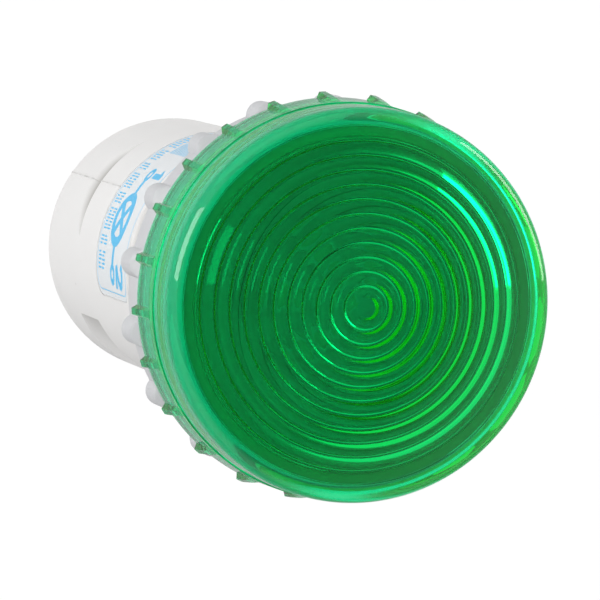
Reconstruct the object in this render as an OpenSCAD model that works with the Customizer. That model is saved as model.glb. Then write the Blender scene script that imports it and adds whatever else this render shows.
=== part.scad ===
// Panel pilot light for a 22 mm panel hole. A green lens screws over the collar of a
// white moulded housing, and a lobed nut clamps the panel against the housing's seat.
// Millimetres. Origin at the middle of the rear end face, +Z towards the lens.
// The two wire notches face +X and -X, and the mould's parting line runs along +Y and -Y.

/* [Housing tail] */
// Diameter of the plain tail behind the thread
tail_d = 21.2; // [20.8:0.1:21.4]
// Length of the tail, from the rear end face to the thread
tail_l = 28; // [26:0.5:34]
// Inside diameter of the tail
bore_d = 17.8; // [17.4:0.1:18.2]
// Thickness of the rear end wall
rear_wall = 2; // [1.6:0.1:2.6]
// Rounding of the rear edge
rear_round = 0.5; // [0.3:0.1:0.8]
// Width of the flats inside the tail that key the terminal block
key_flat_w = 14.4; // [14.2:0.1:14.8]

/* [Threaded neck] */
// Crest diameter of the thread
neck_d = 22.1; // [21.9:0.05:22.2]
// Length of the thread, up to the panel seat
neck_l = 19.3; // [16:0.1:24]
// Width of the keyway along the neck
keyway_w = 2.4; // [2:0.1:3]
// Depth of the keyway below the thread crest
keyway_depth = 0.75; // [0.5:0.05:0.9]

/* [Collar] */
// Outside diameter of the collar that the lens screws onto
collar_d = 26.2; // [25.8:0.1:26.6]
// Height of the collar above the panel seat
collar_l = 6; // [5.4:0.1:6.6]
// Wall of the collar
collar_wall = 0.9; // [0.8:0.1:1.2]
// Thickness of the flange under the collar
flange_t = 0.9; // [0.8:0.1:1.2]

/* [Lens] */
// Diameter of the lens at its front rim
lens_d = 29.5; // [29:0.1:30]
// Diameter of the skirt at its rear edge
skirt_d = 30.1; // [29.8:0.1:30.6]
// Height of the lens from its rear edge to the top of its dome
lens_h = 10.65; // [10.2:0.05:11.4]
// Radius of the dome
dome_r = 46.6; // [40:0.1:60]
// Rounding between dome and skirt
rim_round = 1.3; // [0.8:0.1:1.6]
// Thickness of the front wall
front_t = 1.9; // [1.6:0.1:2.2]
// Number of concentric ridges inside the front wall
ridge_count = 11; // [8:1:11]
// Radial distance from one ridge to the next
ridge_pitch = 1.047; // [0.95:0.001:1.05]
// Radius of the innermost ridge
ridge_first = 1.2; // [1:0.05:1.3]
// Height of a ridge
ridge_h = 0.34; // [0.2:0.02:0.4]
// Number of grip ribs round the skirt
rib_count = 24; // [18:1:30]
// Length of a grip rib
rib_l = 4.15; // [3.5:0.05:5]
// Width of a grip rib at its root
rib_w = 1.2; // [0.8:0.1:1.6]
// Height of a grip rib at the rear edge
rib_h = 0.45; // [0.3:0.05:0.6]
// Angle of the first grip rib
rib_angle = 8.5; // [0:0.5:15]
// Distance from the rear edge of the skirt to the rear end of a rib
rib_setback = 0.1; // [0.05:0.05:0.5]
// Width of a grip rib at its crest
rib_crest_w = 0.3; // [0.2:0.1:0.6]
// Step between the plain band and the ribbed band
band_step = 0.08; // [0.04:0.02:0.14]
// Thickness of the lens seal
seal_t = 0.6; // [0.5:0.1:0.9]

/* [Panel clamp] */
// Thickness of the panel gasket
gasket_t = 1; // [0.8:0.1:1.4]
// Diameter of the panel gasket
gasket_d = 28.4; // [27.6:0.1:28.8]
// Thickness of the locating washer
washer_t = 0.6; // [0.5:0.1:0.9]
// Diameter of the locating washer
washer_d = 27; // [26:0.1:28]
// Height of the lock nut
nut_h = 3.9; // [3.4:0.1:5]
// Radial thickness of the lock nut, without its lobes
nut_wall = 3.12; // [2.9:0.02:3.4]
// Number of lobes on the lock nut
lobe_count = 17; // [12:1:20]
// Width of a lobe
lobe_w = 2.3; // [1.8:0.1:2.8]
// Height of a lobe above the nut
lobe_h = 0.8; // [0.5:0.05:1]
// Angle of the first lobe
lobe_angle = 115.7; // [0:0.1:360]

/* [Rear notches and grooves] */
// Height of the front wall of each wire notch
notch_top_z = 12.6; // [12.4:0.1:13]
// Height at which the flat floor of the notch starts
notch_floor_z = 7.6; // [7.2:0.1:8]
// Width of the notch across the tail
notch_w = 9.3; // [8.6:0.1:9.6]
// Distance of the notch floor from the axis
notch_floor_x = 8.75; // [8.5:0.05:9]
// Slope of the ramp behind the floor, in degrees to the axis
notch_ramp = 42; // [35:1:50]
// Height of the front wall of each crescent groove
groove_z = 10.7; // [10:0.1:11.5]
// Depth of the crescent groove at its middle
groove_depth = 1.1; // [0.8:0.05:1.2]
// Length of the crescent groove along the tail
groove_l = 2.6; // [2:0.1:3]

/* [Rating label] */
// Height of the label's lower edge
label_z = 17; // [16:0.1:18]
// Height of the label
label_h = 9.7; // [8:0.1:10]
// Width of the label seen from the side
label_w = 15.8; // [12:0.1:16.4]
// Rounding of the label's corners
label_round = 1.2; // [0.6:0.1:2]
// Thickness of the label film
label_t = 0.1; // [0.08:0.01:0.14]

/* [Terminals] */
// Distance of each terminal screw from the axis
screw_x = 4.1; // [4:0.1:4.1]
// Thread diameter of a terminal screw
screw_d = 3; // [2.5:0.1:3]
// Length of a terminal screw under its head
screw_l = 6.5; // [6:0.1:6.6]
// Diameter of a screw head
head_d = 5.5; // [5:0.1:5.6]
// Height of a screw head
head_h = 2.2; // [1.8:0.1:2.4]
// Diameter of the driver hole in the rear end wall
driver_hole_d = 6; // [5.9:0.1:6]
// Width of the driver slot
slot_w = 0.8; // [0.6:0.1:1]
// Depth of the driver slot
slot_depth = 1.2; // [0.8:0.1:1.3]
// Thickness of a clamp plate
plate_t = 0.9; // [0.8:0.1:1]
// Length of a clamp plate along X
plate_l = 4.2; // [4:0.1:4.3]
// Width of a clamp plate along Y
plate_w = 8; // [7.8:0.1:8.2]
// Thickness of a terminal bar
bar_t = 1.2; // [1:0.1:1.3]
// Length of the soldering tail of a terminal
tail_tab_l = 5.8; // [5:0.1:7]
// Width of the soldering tail
tail_tab_w = 2.4; // [2:0.1:3]
// Thickness of the soldering tail
tail_tab_t = 0.8; // [0.6:0.1:0.9]
// Radius of a wire hole
wire_r = 1.4; // [1.2:0.05:1.4]
// Distance of a wire hole to either side of the screw
wire_y = 3.1; // [3:0.05:3.2]
// Height of the top of the terminal block
block_top_z = 17.5; // [17.2:0.1:18.5]
// Height of the shelf on which the terminal block seats
block_seat_z = 14; // [13.8:0.1:15]

/* [Circuit] */
// Thickness of the circuit board
board_t = 1.6; // [1.2:0.1:1.6]
// Width of the circuit board
board_w = 15.4; // [14:0.1:15.8]
// Depth to which the circuit board enters the terminal block
board_grip = 2.6; // [2:0.1:3]
// Thickness of the round lamp board
lamp_board_t = 1.2; // [1:0.1:1.6]
// Width of the shelf under the lamp board
lamp_shelf = 0.6; // [0.4:0.1:0.7]
// Depth of the lamp board's shelf below the panel seat
lamp_shelf_depth = 1.4; // [1:0.1:2]
// Number of lamp chips round the centre chip
led_ring_count = 6; // [4:1:8]
// Radius of the ring of lamp chips
led_ring_r = 5.6; // [5:0.1:6.4]
// Side of a lamp chip
led_w = 3; // [2.6:0.1:3.2]
// Height of a lamp chip
led_h = 1.4; // [1:0.1:1.8]
// Diameter of the smoothing capacitor
capacitor_d = 6.3; // [5:0.1:6.8]
// Length of the smoothing capacitor
capacitor_l = 11; // [9:0.5:11.5]
// Height of the smoothing capacitor's lower end
capacitor_z = 21; // [20:0.5:22]
// Diameter of a resistor
resistor_d = 2.6; // [2:0.1:3]
// Length of a resistor
resistor_l = 7; // [6:0.5:8]
// Height of a resistor's lower end
resistor_z = 22; // [21.5:0.5:23]
// Distance of each resistor from the middle of the board
resistor_y = 3.4; // [3:0.1:4]
// Length of the bridge rectifier
rectifier_l = 8.4; // [7:0.1:9]
// Width of the bridge rectifier
rectifier_w = 6.2; // [5:0.1:6.4]
// Height of the bridge rectifier above the board
rectifier_h = 2.6; // [2:0.1:3]
// Distance from the lamp board to the front end of the rectifier
rectifier_drop = 3.5; // [2.5:0.1:4]
// Diameter of the varistor
varistor_d = 7; // [5:0.1:8]
// Thickness of the varistor
varistor_t = 3.4; // [3:0.1:4]
// Distance from the lamp board to the middle of the varistor
varistor_drop = 7.4; // [6.4:0.1:8.4]

/* [Clearances] */
// Radial gap of a screw thread drawn as plain cylinders
thread_gap = 0.08; // [0.05:0.01:0.1]
// Gap between pieces that slide past each other
free_gap = 0.3; // [0.25:0.05:0.35]
// Gap between moulded pieces that are pushed together
push_gap = 0.1; // [0.05:0.01:0.12]
// Gap between the lens skirt and the panel gasket
skirt_gap = 0.25; // [0.2:0.05:0.4]

/* [Hidden] */
$fn = 96;
cut = 1;                                            // how far a cutter runs past a face
tail_r = tail_d / 2;
bore_r = bore_d / 2;
neck_r = neck_d / 2;
collar_r = collar_d / 2;
seat_z = tail_l + neck_l;                           // the plane that meets the gasket
collar_z = seat_z + collar_l;
lamp_z = seat_z - lamp_shelf_depth;
lamp_bore_r = bore_r + lamp_shelf;
bowl_r = collar_r - collar_wall;
rectifier_z = lamp_z - rectifier_drop - rectifier_l;      // rear end of the rectifier
varistor_z = lamp_z - varistor_drop;
skirt_z = seat_z + skirt_gap;
lens_top_z = skirt_z + lens_h;
lens_seat_z = collar_z + seal_t;
lens_bore_r = collar_r + thread_gap;
dome_z = lens_top_z - dome_r;                       // centre of the dome's sphere
ridged_r = bowl_r + 0.05;                           // edge of the ridged front wall
washer_z = seat_z - gasket_t - washer_t;
nut_z = washer_z - nut_h;
nut_bore_r = neck_r + thread_gap;
nut_r = nut_bore_r + nut_wall;
wire_z = (notch_floor_z + notch_top_z) / 2;
bar_z = wire_z + wire_r + 0.3;                      // rear face of the terminal bar
plate_z = wire_z - wire_r - 0.2 - plate_t;          // rear face of the open clamp plate
well_r = head_d / 2 + free_gap;
clamp_room = 0.3;                                   // gap round a clamp plate in its cavity
bar_in_x = board_t / 2;                             // the tail lies against the board
divider_t = board_t;                                // the wall under the board, between the terminals
bar_out_x = key_flat_w / 2 - 2 * push_gap;
board_z = block_top_z - board_grip;

// Profile of the lens, from the top of the dome, down the outside and back along the inside
function dome_at(r, sphere_r) = dome_z + sqrt(sphere_r * sphere_r - r * r);
function ridge_at(u) = ridge_h * sqrt(max(0, 1 - u * u));
rim_x = lens_d / 2 - rim_round;
rim_z = dome_z + sqrt(pow(dome_r - rim_round, 2) - rim_x * rim_x);
rim_angle = atan2(rim_x, rim_z - dome_z);           // where the dome turns into the rim
band_z = skirt_z + rib_l;
band_r = lens_d / 2 + 0.1;
dome_steps = 12;
rim_steps = 6;
ridge_steps = 5;
ridge_half = ridge_pitch / 2;
dome_points = [for (i = [0:dome_steps])
    let (a = rim_angle * i / dome_steps) [dome_r * sin(a), dome_z + dome_r * cos(a)]];
rim_points = [for (i = [1:rim_steps])
    let (a = 90 - rim_angle - (90 - rim_angle) * i / rim_steps)
    [rim_x + rim_round * cos(a), rim_z + rim_round * sin(a)]];
skirt_points = [[band_r, band_z], [band_r + band_step, band_z], [skirt_d / 2, skirt_z],
    [lens_bore_r, skirt_z], [lens_bore_r, lens_seat_z], [ridged_r, lens_seat_z],
    [ridged_r, dome_at(ridged_r, dome_r - front_t)]];
ridge_points = [for (k = [ridge_count - 1:-1:0], i = [0:ridge_steps])
    let (u = 1 - 2 * i / ridge_steps, r = ridge_first + k * ridge_pitch + u * ridge_half * 0.98)
    [r, dome_at(r, dome_r - front_t) - ridge_at(u)]];
lens_profile = concat(dome_points, rim_points, skirt_points, ridge_points,
    [[0, dome_at(0, dome_r - front_t)]]);

module tube(r_out, r_in, z, h) {
    translate([0, 0, z]) difference() {
        cylinder(r = r_out, h = h);
        translate([0, 0, -cut]) cylinder(r = r_in, h = h + 2 * cut);
    }
}

// One grip rib: a roof-shaped ridge whose crest falls to the skirt towards the front
module grip_rib() {
    sunk = 0.4;
    root_r = skirt_d / 2 - sunk;
    crest_fall = rib_h + (skirt_d / 2 - band_r) + sunk / 4;
    intersection() {
        rotate([90, 0, 0]) translate([0, 0, -rib_w]) linear_extrude(height = 2 * rib_w)
            polygon([[root_r, skirt_z + rib_setback], [skirt_d / 2 + rib_h, skirt_z + rib_setback],
                     [skirt_d / 2 + rib_h - crest_fall, band_z - sunk / 2],
                     [root_r, band_z - sunk / 2]]);
        translate([0, 0, skirt_z]) linear_extrude(height = rib_l)
            polygon([[root_r, -rib_w / 2 - sunk / 2], [root_r, rib_w / 2 + sunk / 2],
                     [skirt_d / 2 + rib_h, rib_crest_w / 2], [skirt_d / 2 + rib_h, -rib_crest_w / 2]]);
    }
}

module lens() {
    color([0.05, 0.62, 0.3, 0.6]) union() {
        rotate_extrude() polygon(lens_profile);
        for (i = [0:rib_count - 1])
            rotate([0, 0, rib_angle + i * 360 / rib_count]) grip_rib();
    }
}

module lens_seal() {
    color([0.92, 0.93, 0.92]) tube(collar_r, ridged_r + 0.1, collar_z, seal_t);
}

// The flat-sided space at the bottom of the tail: what the terminal block keys into
module keyed_space(r, half_w, z, h) {
    intersection() {
        translate([0, 0, z]) cylinder(r = r, h = h);
        translate([-half_w, -r - cut, z]) cube([2 * half_w, 2 * r + 2 * cut, h]);
    }
}

// A wire notch on the +X side: flat floor, square front wall, ramp up to the rear
module wire_notch() {
    rise = tail_r + cut - notch_floor_x;
    translate([0, notch_w / 2, 0]) rotate([90, 0, 0]) linear_extrude(height = notch_w)
        polygon([[notch_floor_x, notch_floor_z], [notch_floor_x, notch_top_z],
                 [notch_floor_x + rise, notch_top_z],
                 [notch_floor_x + rise, notch_floor_z - rise / tan(notch_ramp)]]);
    for (side = [-1, 1])
        translate([key_flat_w / 2 - cut, side * wire_y, wire_z]) rotate([0, 90, 0])
            cylinder(r = wire_r, h = tail_r);
}

// A crescent groove on the +Y side: a straight cut, deepest at its square front wall
module crescent_groove() {
    slope = groove_l / groove_depth;
    translate([-tail_r, 0, 0]) rotate([90, 0, 90]) linear_extrude(height = tail_d)
        polygon([[tail_r - groove_depth, groove_z], [tail_r + cut, groove_z],
                 [tail_r + cut, groove_z - groove_l - cut * slope]]);
}

// A sheet of the label's outline, wrapped round the tail on the +Y side
module label_sheet(r_in, r_out, margin) {
    half = label_w / 2 + margin;
    low = label_z - margin;
    high = label_z + label_h + margin;
    corner = label_round + margin;
    intersection() {
        tube(r_out, r_in, low - cut, high - low + 2 * cut);
        rotate([90, 0, 0]) translate([0, 0, -tail_r - cut]) linear_extrude(height = tail_r) {
            translate([-half + corner, low]) square([2 * half - 2 * corner, high - low]);
            translate([-half, low + corner]) square([2 * half, high - low - 2 * corner]);
            for (x = [-half + corner, half - corner], z = [low + corner, high - corner])
                translate([x, z]) circle(r = corner);
        }
    }
}

module housing() {
    lead_in = neck_r - tail_r;
    label_pocket = label_t + 0.02;
    color([0.94, 0.94, 0.93]) difference() {
        rotate_extrude() polygon(concat([[0, 0]],
            [for (i = [0:5]) let (a = -90 + 18 * i)
                [tail_r - rear_round + rear_round * cos(a), rear_round + rear_round * sin(a)]],
            [[tail_r, tail_l], [neck_r, tail_l + lead_in], [neck_r, seat_z], [collar_r, seat_z],
             [collar_r, collar_z], [0, collar_z]]));
        // inside: keyed foot, bore, lamp board shelf, bowl and collar
        keyed_space(bore_r, key_flat_w / 2, rear_wall, block_seat_z - rear_wall + cut);
        translate([0, 0, block_seat_z]) cylinder(r = bore_r, h = seat_z);
        translate([0, 0, lamp_z]) cylinder(r = lamp_bore_r, h = seat_z);
        translate([0, 0, seat_z + flange_t]) rotate_extrude()
            polygon([[0, 0], [lamp_bore_r, 0], [bowl_r, bowl_r - lamp_bore_r],
                     [bowl_r, collar_l], [0, collar_l]]);
        // keyway for the locating washer, along the neck
        rotate([0, 0, -90]) translate([neck_r - keyway_depth, -keyway_w / 2, tail_l])
            cube([keyway_depth + cut, keyway_w, neck_l]);
        for (turn = [0, 180]) rotate([0, 0, turn]) {
            wire_notch();
            crescent_groove();
            translate([screw_x, 0, -cut]) cylinder(d = driver_hole_d, h = rear_wall + 2 * cut);
        }
        label_sheet(tail_r - label_pocket, tail_r + cut, 0.1);
    }
}

module panel_gasket() {
    color([0.25, 0.26, 0.27]) tube(gasket_d / 2, neck_r + push_gap, seat_z - gasket_t, gasket_t);
}

// The tongue of the washer runs in the keyway, so the washer slides but cannot turn
module locating_washer() {
    tongue_r = neck_r - keyway_depth + free_gap;
    color([0.8, 0.81, 0.82]) union() {
        tube(washer_d / 2, neck_r + free_gap, washer_z, washer_t);
        rotate([0, 0, -90]) translate([tongue_r, -keyway_w / 2 + free_gap, washer_z])
            cube([neck_r - tongue_r + 2 * free_gap, keyway_w - 2 * free_gap, washer_t]);
    }
}

module lock_nut() {
    bevel = 0.5;
    top = nut_h - bevel;
    lobe_r = lobe_w / 2;
    color([0.8, 0.81, 0.82]) translate([0, 0, nut_z]) difference() {
        union() {
            rotate_extrude() polygon([[0, 0], [nut_r, 0], [nut_r, top],
                                      [nut_r - bevel, nut_h], [0, nut_h]]);
            intersection() {
                for (i = [0:lobe_count - 1]) rotate([0, 0, lobe_angle + i * 360 / lobe_count])
                    translate([nut_r + lobe_h - lobe_r, 0, 0]) cylinder(r = lobe_r, h = nut_h);
                rotate_extrude() polygon([[0, 0], [nut_r + lobe_h, 0],
                    [nut_r + lobe_h, top - lobe_h], [nut_r - 0.1, top + 0.1], [0, top + 0.1]]);
            }
        }
        translate([0, 0, -cut]) cylinder(r = nut_bore_r, h = nut_h + 2 * cut);
    }
}

module rating_label() {
    color([0.86, 0.93, 0.97]) label_sheet(tail_r - label_t - 0.01, tail_r - 0.01, 0);
}

// The space on the +X side of the block for one terminal, its plate, screw and wires
module terminal_space() {
    cavity_x = screw_x - plate_l / 2 - clamp_room;
    half_w = plate_w / 2 + clamp_room;
    low = plate_z - clamp_room;
    translate([screw_x, 0, -cut]) cylinder(r = well_r, h = bar_z + cut);
    translate([cavity_x, -half_w, low]) cube([bore_r, 2 * half_w, bar_z - low]);
    translate([bar_in_x, -half_w, bar_z]) cube([bore_r, 2 * half_w, bar_t + 2 * push_gap]);
    translate([screw_x, 0, bar_z]) cylinder(r = screw_d / 2 + free_gap, h = block_top_z);
    translate([0, -tail_tab_w / 2 - push_gap, bar_z])
        cube([bar_in_x + tail_tab_t + push_gap, tail_tab_w + 2 * push_gap, block_top_z]);
}

module terminal_block() {
    key_r = bore_r - push_gap;
    color([0.9, 0.9, 0.88]) difference() {
        union() {
            keyed_space(key_r, key_flat_w / 2 - push_gap, rear_wall, block_seat_z - rear_wall + 0.2);
            translate([0, 0, block_seat_z]) cylinder(r = key_r, h = block_top_z - block_seat_z);
        }
        for (turn = [0, 180]) rotate([0, 0, turn]) difference() {
            terminal_space();
            // the divider between the terminals stays below the board
            translate([-divider_t / 2, -bore_r, 0]) cube([divider_t, bore_d, board_z]);
        }
        translate([-board_t / 2 - 0.05, -board_w / 2 - push_gap, board_z])
            cube([board_t + 0.1, board_w + 2 * push_gap, board_grip + cut]);
    }
}

// A brass bar with a threaded hole, and a tail that is soldered to the circuit board
module terminal(turn) {
    color([0.78, 0.66, 0.36]) rotate([0, 0, turn]) difference() {
        union() {
            translate([bar_in_x, -plate_w / 2, bar_z])
                cube([bar_out_x - bar_in_x, plate_w, bar_t]);
            translate([bar_in_x, -tail_tab_w / 2, bar_z])
                cube([tail_tab_t, tail_tab_w, bar_t + tail_tab_l]);
        }
        translate([screw_x, 0, bar_z - cut])
            cylinder(r = screw_d / 2 + thread_gap, h = bar_t + 2 * cut);
    }
}

module clamp_plate(turn) {
    color([0.75, 0.76, 0.78]) rotate([0, 0, turn]) translate([screw_x, 0, plate_z]) difference() {
        translate([-plate_l / 2, -plate_w / 2, 0]) cube([plate_l, plate_w, plate_t]);
        translate([0, 0, -cut]) cylinder(r = screw_d / 2 + thread_gap, h = plate_t + 2 * cut);
    }
}

module clamp_screw(turn) {
    color([0.7, 0.71, 0.73]) rotate([0, 0, turn]) translate([screw_x, 0, plate_z]) difference() {
        union() {
            cylinder(d = screw_d, h = screw_l);
            translate([0, 0, -head_h]) cylinder(d = head_d, h = head_h);
        }
        translate([-head_d, -slot_w / 2, -head_h - cut]) cube([2 * head_d, slot_w, slot_depth + cut]);
    }
}

module circuit_board() {
    color([0.1, 0.4, 0.22]) translate([-board_t / 2, -board_w / 2, board_z])
        cube([board_t, board_w, lamp_z - board_z]);
}

module lamp_board() {
    color([0.93, 0.94, 0.93]) translate([0, 0, lamp_z])
        cylinder(r = lamp_bore_r - push_gap, h = lamp_board_t);
}

// A lamp chip: a square cup with a round window of clear resin
module led(place) {
    window_r = led_w * 0.4;
    angle = place * 360 / led_ring_count;
    r = place == 0 ? 0 : led_ring_r;
    color([0.95, 0.95, 0.85]) rotate([0, 0, angle])
        translate([r, 0, lamp_z + lamp_board_t]) difference() {
            translate([-led_w / 2, -led_w / 2, 0]) cube([led_w, led_w, led_h]);
            translate([0, 0, led_h * 0.8]) cylinder(r = window_r, h = led_h);
        }
}

// A moulded package with two pairs of legs on the circuit board
module bridge_rectifier() {
    leg_w = 0.7;
    leg_t = 0.3;
    color([0.12, 0.12, 0.13]) union() {
        translate([-board_t / 2 - rectifier_h, -rectifier_w / 2, rectifier_z])
            cube([rectifier_h, rectifier_w, rectifier_l]);
        for (side = [-1, 1], level = [0.25, 0.75])
            translate([-board_t / 2 - leg_t, side > 0 ? rectifier_w / 2 : -rectifier_w / 2 - 1,
                       rectifier_z + level * rectifier_l - leg_w / 2])
                cube([leg_t, 1, leg_w]);
    }
}

// The can stands along the board, on two leads bent to it
module smoothing_capacitor() {
    lead_r = 0.3;
    can_x = board_t / 2 + capacitor_d / 2 + 0.05;
    color([0.16, 0.2, 0.35]) union() {
        translate([can_x, 0, capacitor_z]) cylinder(d = capacitor_d, h = capacitor_l);
        for (side = [-1, 1]) translate([can_x, side * 1.25, capacitor_z - 1]) {
            cylinder(r = lead_r, h = 1.5);
            rotate([0, -90, 0]) cylinder(r = lead_r, h = can_x - board_t / 2);
        }
    }
}

module resistor(side) {
    lead_r = 0.3;
    stand_off = 0.3;
    body_x = board_t / 2 + stand_off + resistor_d / 2;
    color([0.55, 0.66, 0.75]) translate([-body_x, side * resistor_y, resistor_z]) union() {
        cylinder(d = resistor_d, h = resistor_l);
        translate([0, 0, -1]) cylinder(r = lead_r, h = resistor_l + 2);
        for (z = [-1, resistor_l + 1]) translate([0, 0, z])
            rotate([0, 90, 0]) cylinder(r = lead_r, h = body_x - board_t / 2);
    }
}

module varistor() {
    lead_r = 0.3;
    disc_x = board_t / 2 + varistor_d / 2 + 0.3;
    color([0.1, 0.3, 0.55]) translate([0, 0, varistor_z]) union() {
        translate([disc_x, varistor_t / 2, 0]) rotate([90, 0, 0])
            cylinder(d = varistor_d, h = varistor_t);
        for (side = [-1, 1]) translate([board_t / 2, 0, side * 1.25])
            rotate([0, 90, 0]) cylinder(r = lead_r, h = 2);
    }
}

lens();
lens_seal();
housing();
panel_gasket();
locating_washer();
lock_nut();
rating_label();
terminal_block();
terminal(0);  // terminal_1
terminal(180);  // terminal_2
clamp_plate(0);  // clamp_plate_1
clamp_plate(180);  // clamp_plate_2
clamp_screw(0);  // clamp_screw_1
clamp_screw(180);  // clamp_screw_2
circuit_board();
lamp_board();
for (k = [0:led_ring_count]) led(k);
bridge_rectifier();
smoothing_capacitor();
resistor(-1);  // resistor_1
resistor(1);  // resistor_2
varistor();
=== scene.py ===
# Panel pilot light for a 22 mm panel hole: a green lens screwed over the collar of a
# white lamp housing, a lock nut behind the panel, and two screw clamps in the tail.
import math
import bpy
from mathutils import Matrix, Vector


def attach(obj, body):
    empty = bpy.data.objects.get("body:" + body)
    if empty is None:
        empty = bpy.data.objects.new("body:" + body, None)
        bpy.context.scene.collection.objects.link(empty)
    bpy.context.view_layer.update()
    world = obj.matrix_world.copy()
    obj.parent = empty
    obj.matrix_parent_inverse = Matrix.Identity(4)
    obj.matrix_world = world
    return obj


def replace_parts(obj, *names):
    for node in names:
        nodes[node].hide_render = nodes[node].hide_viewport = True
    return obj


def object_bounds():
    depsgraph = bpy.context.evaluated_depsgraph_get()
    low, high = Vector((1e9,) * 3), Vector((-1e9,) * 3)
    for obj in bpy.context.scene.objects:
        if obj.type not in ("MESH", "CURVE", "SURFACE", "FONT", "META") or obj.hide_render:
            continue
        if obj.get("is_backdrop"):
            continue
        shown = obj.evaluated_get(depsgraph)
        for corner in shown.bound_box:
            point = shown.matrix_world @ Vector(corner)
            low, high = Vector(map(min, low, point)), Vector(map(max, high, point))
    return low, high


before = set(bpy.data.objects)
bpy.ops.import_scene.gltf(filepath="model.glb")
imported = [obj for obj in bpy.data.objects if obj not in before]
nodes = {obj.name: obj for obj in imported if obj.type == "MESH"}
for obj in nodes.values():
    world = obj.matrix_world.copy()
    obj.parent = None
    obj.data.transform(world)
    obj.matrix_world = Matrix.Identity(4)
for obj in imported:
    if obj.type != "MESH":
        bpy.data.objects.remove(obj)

MM = 0.001
bpy.context.scene.view_settings.view_transform = "Standard"
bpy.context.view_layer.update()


# ---- Studio ----------------------------------------------------------------------
# A pale sweep under the part, a soft lamp on either side, and a tent that is white at
# the horizon and darker overhead, where the camera looks in.

def linear(hex_colour):
    """An sRGB hex colour as linear red, green, blue and full alpha."""
    parts = [int(hex_colour[i:i + 2], 16) / 255 for i in (0, 2, 4)]
    return [c / 12.92 if c <= 0.04045 else ((c + 0.055) / 1.055) ** 2.4 for c in parts] + [1.0]


def add(tree, kind, wires=None, **settings):
    """A node in a tree, with its settings, and with a link or a value for each input named.

    A node given for an input stands for its first output. A kind that isn't one for
    geometry or a group is a shader node's."""
    other = kind.startswith(("Geometry", "Function", "NodeGroup"))
    made = tree.nodes.new(kind if other else "ShaderNode" + kind)
    for name, value in settings.items():
        setattr(made, name, value)
    for key, value in (wires or {}).items():
        if isinstance(value, bpy.types.Node):
            value = value.outputs[0]
        if isinstance(value, bpy.types.NodeSocket):
            tree.links.new(value, made.inputs[key])
        else:
            made.inputs[key].default_value = value
    return made


def empty_material(name):
    """A new material with nothing but its output node."""
    made = bpy.data.materials.new(name)
    made.use_nodes = True
    made.node_tree.nodes.clear()
    return made, made.node_tree, made.node_tree.nodes.new("ShaderNodeOutputMaterial")


lens_length = 312.957
camera = bpy.data.cameras.new("camera")
camera.lens, camera.sensor_width = lens_length, 36.0
viewpoint = bpy.data.objects.new("camera", camera)
bpy.context.scene.collection.objects.link(viewpoint)
bpy.context.scene.camera = viewpoint
view_right = Vector((0.56549, -0.77658, 0.27774))
view_up = Vector((0.82049, 0.56391, -0.09382))
view_back = view_right.cross(view_up)
viewpoint.matrix_world = Matrix.Translation(Vector((-34.479, 112.160, 423.158)) * MM) @ Matrix(
    (view_right, view_up, view_back)).transposed().to_4x4()
camera.clip_start, camera.clip_end = 0.01, 10.0

# the sweep: painted board, seen as near white, which still takes the part's shadow
sweep_mat, tree, out = empty_material("pale_sweep_board")
path = add(tree, "LightPath")
seen = add(tree, "Math", {0: path.outputs["Is Camera Ray"],
                          1: path.outputs["Is Transmission Ray"]}, operation="MAXIMUM")
lit_share = add(tree, "Math", {0: seen, 1: 0.86}, operation="MULTIPLY")
board = add(tree, "BsdfDiffuse", {"Color": linear("e2e2e2")})
glow = add(tree, "Emission", {"Color": (1, 1, 1, 1), "Strength": 1.1})
mixed = add(tree, "MixShader", {0: lit_share, 1: board, 2: glow})
tree.links.new(mixed.outputs[0], out.inputs[0])
half = 1.5
sweep_mesh = bpy.data.meshes.new("sweep")
# (a hair below the part, so that the rear face doesn't lie in the same plane)
sweep_mesh.from_pydata([(x, y, -0.02 * MM) for x, y in ((-half, -half), (half, -half),
                                                        (half, half), (-half, half))],
                       [], [(0, 1, 2, 3)])
sweep_mesh.materials.append(sweep_mat)
sweep = bpy.data.objects.new("sweep", sweep_mesh)
bpy.context.scene.collection.objects.link(sweep)
sweep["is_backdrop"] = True

# the tent: white up to the brow, dark at the opening overhead
world = bpy.data.worlds.new("tent")
bpy.context.scene.world = world
world.use_nodes = True
tree = world.node_tree
tree.nodes.clear()
where = add(tree, "TexCoord")
height = add(tree, "SeparateXYZ", {0: where.outputs["Generated"]})
fall = add(tree, "MapRange", {"Value": height.outputs["Z"], "From Min": 0.45, "From Max": 0.85,
                              "To Min": 0.90, "To Max": 0.08})
path = add(tree, "LightPath")
sky = add(tree, "Background", {"Color": (1, 1, 1, 1), "Strength": fall})
seen_sky = add(tree, "Background", {"Color": (1, 1, 1, 1), "Strength": 1.0})
both = add(tree, "MixShader", {0: path.outputs["Is Camera Ray"], 1: sky, 2: seen_sky})
out = add(tree, "OutputWorld", {0: both})


def soft_lamp(name, azimuth, elevation, distance, wide, high, radiance):
    """A rectangular soft lamp that faces the lens, placed by its direction from there."""
    light = bpy.data.lights.new(name, "AREA")
    light.shape = "RECTANGLE"
    light.size, light.size_y = wide * MM, high * MM
    light.energy = radiance * math.pi * light.size * light.size_y
    lamp = bpy.data.objects.new(name, light)
    bpy.context.scene.collection.objects.link(lamp)
    turn, tip = math.radians(azimuth), math.radians(elevation)
    toward = Vector((math.cos(turn) * math.cos(tip), math.sin(turn) * math.cos(tip),
                     math.sin(tip)))
    lamp.location = Vector((0, 0, 50 * MM)) + toward * distance * MM
    lamp.rotation_mode = "QUATERNION"
    lamp.rotation_quaternion = toward.to_track_quat("Z", "Y")


soft_lamp("lamp_right", -34, 6, 450, 340, 170, 5.4)
soft_lamp("lamp_left", 105, 14, 450, 230, 250, 5.4)


# ---- Lens ------------------------------------------------------------------------
# A screw-on cap of clear green polycarbonate, injection moulded in a polished tool:
# a shallow dome, concentric ridges on its inner face, and a skirt with grip ribs.

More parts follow.
